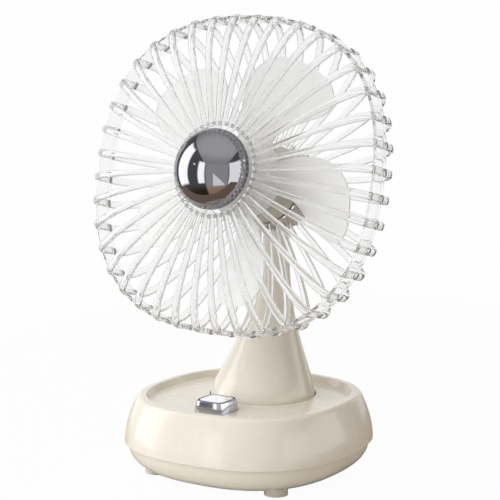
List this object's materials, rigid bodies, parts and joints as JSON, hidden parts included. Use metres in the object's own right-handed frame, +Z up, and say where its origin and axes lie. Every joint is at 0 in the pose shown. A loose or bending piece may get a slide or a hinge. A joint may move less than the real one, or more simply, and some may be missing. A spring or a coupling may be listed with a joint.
{
  "type": "rechargeable desk fan",
  "caption": "Desk fan with a clear rounded-square ribbed guard, white blades and a chrome cap, on a tapered neck over a heavy rounded base with a chrome push button.",
  "frame": {"origin": "centre of the base, on the plane that its feet stand on", "axes": "+Z is up, -Y is the way the air leaves at rest, +X is to the right seen from the front"},
  "size_m": [0.1944, 0.1438, 0.2767],
  "materials": {
    "ivory_shell": "glossy moulded",
    "beige_pod": "glossy moulded",
    "clear_guard": "clear, glossy",
    "white_blades": "satin, faintly see-through",
    "chrome_trim": "bright plated",
    "foot_rubber": "pale, matte",
    "dark_plastic": "matte",
    "nylon": "matte",
    "steel_screws": "zinc plated",
    "bright_steel": "plated",
    "spring_steel": "drawn wire",
    "ballast_iron": "dark",
    "cell_wrap": "shrink wrapped",
    "circuit_board": "solder mask",
    "copper_wire": "enamelled wire",
    "bronze_bearing": "sintered"
  },
  "bodies": {
    "base": {"base_top": "ivory_shell", "base_bottom": "ivory_shell", "feet": "foot_rubber", "case_screws": "steel_screws", "battery_cells": "cell_wrap", "battery_holder": "dark_plastic", "control_board": "circuit_board", "board_screws": "steel_screws", "tact_switch": "dark_plastic", "charge_inlet": "bright_steel", "charge_board": "circuit_board", "charge_board_screws": "steel_screws", "counterweight": "ballast_iron", "button_seat_plate": "dark_plastic", "seat_plate_screws": "steel_screws", "button_spring": "spring_steel", "swivel_wear_ring": "nylon"},
    "button": {"button_cap": "chrome_trim", "button_stem": "dark_plastic"},
    "neck": {"neck_shell": "ivory_shell", "neck_cover": "ivory_shell", "swivel_retainer": "nylon", "retainer_screws": "steel_screws", "tilt_bolt": "steel_screws", "tilt_nut": "steel_screws", "tilt_washers": "nylon"},
    "head": {"pod_front": "beige_pod", "pod_back": "beige_pod", "pod_screws": "steel_screws", "motor_mount": "nylon", "motor_bearings": "bronze_bearing", "stator_core": "bright_steel", "stator_coils": "copper_wire", "driver_board": "circuit_board", "front_guard": "clear_guard", "rear_guard": "clear_guard", "guard_cap": "chrome_trim", "cap_retainer": "nylon", "cap_screw": "steel_screws"},
    "rotor": {"rotor_cup": "bright_steel", "ring_magnet": "ballast_iron", "motor_shaft": "bright_steel", "shaft_clip": "spring_steel", "impeller": "white_blades", "impeller_insert": "bronze_bearing"}
  },
  "joints": [
    {"name": "neck_swivel", "type": "hinge", "parent": "base", "child": "neck", "pos_m": [0, 0.0156, 0.0441], "axis": [0, 0, 1], "range_deg": [-45, 45]},
    {"name": "head_tilt", "type": "hinge", "parent": "neck", "child": "head", "pos_m": [0, 0.03, 0.14], "axis": [-1, 0, 0], "range_deg": [-15, 15]},
    {"name": "fan_spin", "type": "hinge", "parent": "head", "child": "rotor", "pos_m": [0, -0.0118, 0.1814], "axis": [0, -0.9732, 0.23], "continuous": true},
    {"name": "button_press", "type": "slide", "parent": "base", "child": "button", "axis": [0, 0, -1], "range_m": [0, 0.0012], "stiffness_N_per_m": 400, "springref_m": -0.0015, "deforming": ["button_spring"]}
  ]
}
